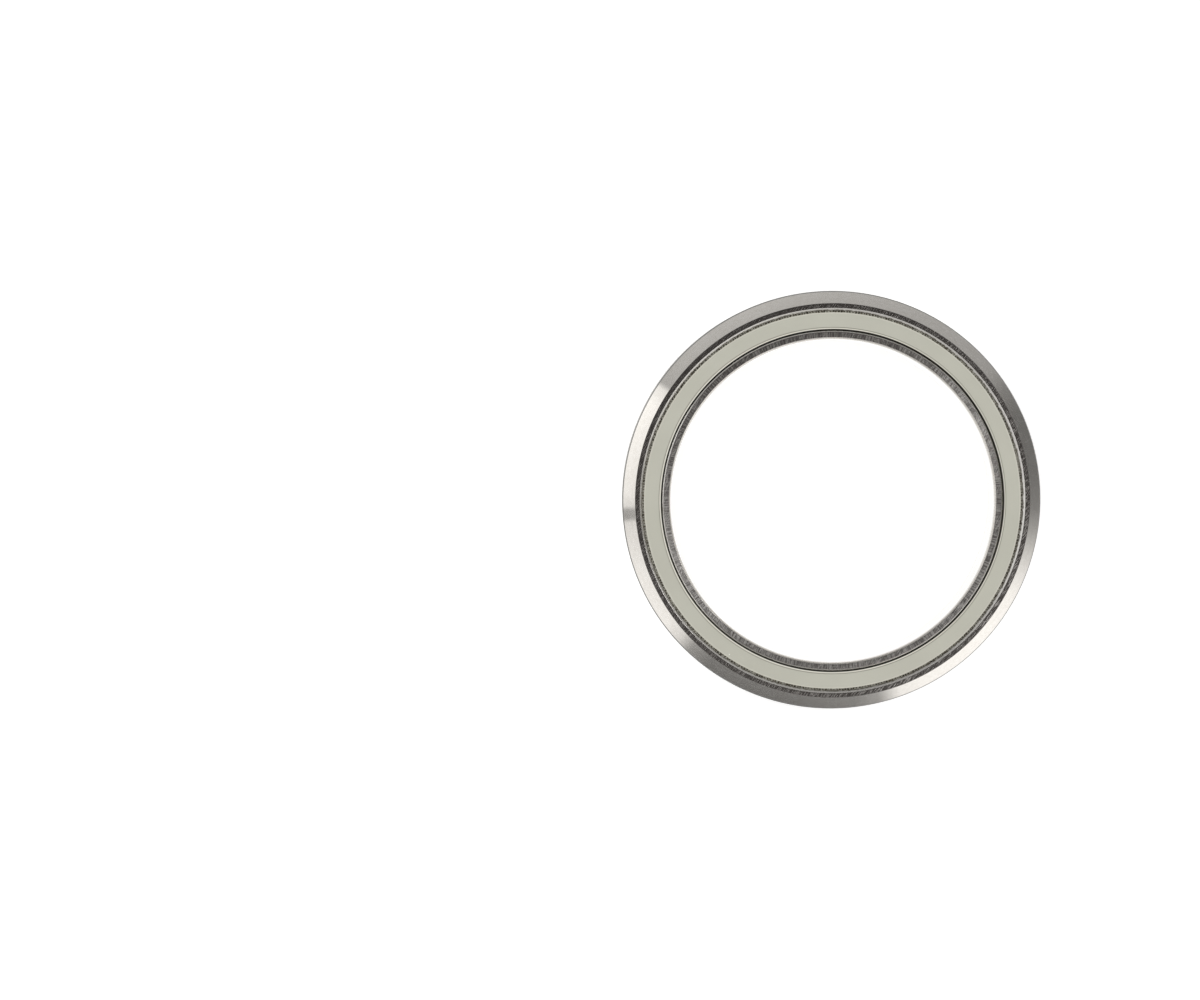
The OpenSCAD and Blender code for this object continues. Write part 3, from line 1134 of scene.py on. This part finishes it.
cell = 2 * CARD_HALF / CARD_CELLS
wide = CARD_CELLS + 1
points, levels = [], []
for number in range(wide * wide):
    x, y = number % wide * cell - CARD_HALF, number // wide * cell - CARD_HALF
    points.append((CARD_AT[0] + x, CARD_AT[1] + y, CARD_Z))
    along = x * math.cos(PALER_TOWARDS) + y * math.sin(PALER_TOWARDS)
    levels.append(max(CARD_LOWEST, CARD_LEVEL + CARD_RISE * along))
firsts = [row * wide + column for row in range(CARD_CELLS) for column in range(CARD_CELLS)]
faces = [(i, i + 1, i + wide + 1, i + wide) for i in firsts]
graded_card("stage_overhead", points, faces, levels, CARD_COLOUR)

# %% Windows and paper
WINDOW_R, WINDOW_Z = 45.0, 240.0
DISC_STEPS = 96


def disc(name, centre, radius, height, strength):
    """A round card, evenly bright."""
    turns = [TAU * i / DISC_STEPS for i in range(DISC_STEPS)]
    points = [(centre[0] + radius * math.cos(a), centre[1] + radius * math.sin(a), height) for a in turns]
    stage_piece(name, points, [tuple(range(DISC_STEPS))], glow(name + "_light", strength))


disc("stage_window_left", (-110.0, -68.0), WINDOW_R, WINDOW_Z, 2.3)
disc("stage_window_right", (150.0, 58.0), WINDOW_R, WINDOW_Z, 4.5)
# A glowing disc stands for bright paper in the bore; only reflections see it.
disc("stage_bore_paper", (0.0, 0.0), BORE_R - 0.05, 0.0, 1.5)

# %% [markdown]
# ## Floor, world and lamp
#
# The floor is plain white paper that takes the ring's shadow. A little light of its own lifts it to clean
# white, for the camera and for reflections alone, so it does not light the rubber. The world is lifted in
# the same way, and a large soft lamp adds a faint direction.

# %% Floor
FLOOR_HALF = 900.0
FLOOR_Z = -0.02
PAPER = (0.9, 0.9, 0.9, 1.0)
PAPER_LIFT = (0.42, 0.2)


def seen_light(nodes, camera_level, mirror_level):
    """A strength with one level for camera rays and another for reflected and refracted ones."""
    camera, glossy, transmission = [
        nodes.add("LightPath", {}, {}, f"Is {kind} Ray") for kind in ("Camera", "Glossy", "Transmission")
    ]
    mirrored = nodes.add("Math", {"operation": "MAXIMUM"}, {0: glossy, 1: transmission})
    return camera * camera_level + mirrored * mirror_level


def paper(name, lift):
    """White paper that is lifted for the camera and for reflections."""
    material, nodes = stage_material(name)
    matte = nodes.add("BsdfDiffuse", {}, {"Color": PAPER})
    light = nodes.add("Emission", {}, {"Strength": seen_light(nodes, *lift)})
    both = nodes.add("AddShader", {}, {0: matte, 1: light})
    nodes.add("OutputMaterial", {}, {"Surface": both})
    return material


corners = [(x * FLOOR_HALF, y * FLOOR_HALF, FLOOR_Z) for x, y in ((-1, -1), (1, -1), (1, 1), (-1, 1))]
stage_piece("stage_floor", corners, [(0, 1, 2, 3)], paper("white_paper", PAPER_LIFT), ALL_RAYS)

# %% World and lamp
ROOM = (1.0, 0.995, 0.985, 1.0)
ROOM_LEVEL = 0.92
ROOM_LIFT = (0.1, 0.08)
LAMP_AT = Vector((-0.25, 0.3, 0.5))

world = bpy.data.worlds.new("soft_room")
world.use_nodes = True
nodes = Nodes(world.node_tree)
room = world.node_tree.nodes["Background"]
nodes.feed(room.inputs["Color"], ROOM)
nodes.feed(room.inputs["Strength"], seen_light(nodes, *ROOM_LIFT) + ROOM_LEVEL)
bpy.context.scene.world = world

lamp = bpy.data.objects.new("soft_lamp", bpy.data.lights.new("soft_lamp", "AREA"))
lamp.data.shape = "DISK"
lamp.data.size = 0.25
lamp.data.energy = 0.5
lamp.location = LAMP_AT
lamp.rotation_euler = (-LAMP_AT).to_track_quat("-Z", "Y").to_euler()
lamp.visible_glossy = False
bpy.context.scene.collection.objects.link(lamp)
print(f"room at {ROOM_LEVEL}, lamp at {lamp.data.energy} W")

# %% [markdown]
# ## The camera
#
# The photograph looks almost straight down from about a third of a metre, with the ring to the right of its
# middle. So the camera stands to the left of the ring and leans a little. A long lens from that height
# keeps the bore nearly round.

# %% Camera
CAMERA_AT = Vector((-28.76, 15.47, 317.5))
LOOK_AT = Vector((-28.76, 0.08, 5.5))
LENS = 75.42
SENSOR = 36.0

camera = bpy.data.objects.new("camera", bpy.data.cameras.new("camera"))
camera.data.lens = LENS
camera.data.sensor_width = SENSOR
camera.location = CAMERA_AT * MM
gaze = LOOK_AT - CAMERA_AT
camera.rotation_euler = (math.atan2(gaze.y, -gaze.z), math.atan2(-gaze.x, -gaze.z), 0.0)
scene = bpy.context.scene
scene.collection.objects.link(camera)
scene.camera = camera
scene.view_settings.view_transform = "Standard"
print(f"camera {gaze.length:.1f} mm away, with a {LENS} mm lens")

# %% [markdown]
# ## Check and finish
#
# The looks may not reach outside the part that was packed, so both boxes are written down and compared.

# %% Compare the boxes
size_at_end = [list(corner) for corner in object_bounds()]
grown_by = max(
    max(start - end for start, end in zip(size_at_start[0], size_at_end[0])),
    max(end - start for start, end in zip(size_at_start[1], size_at_end[1])),
)
print(f"the looks reach {grown_by / MM:.4f} mm outside the CAD box")
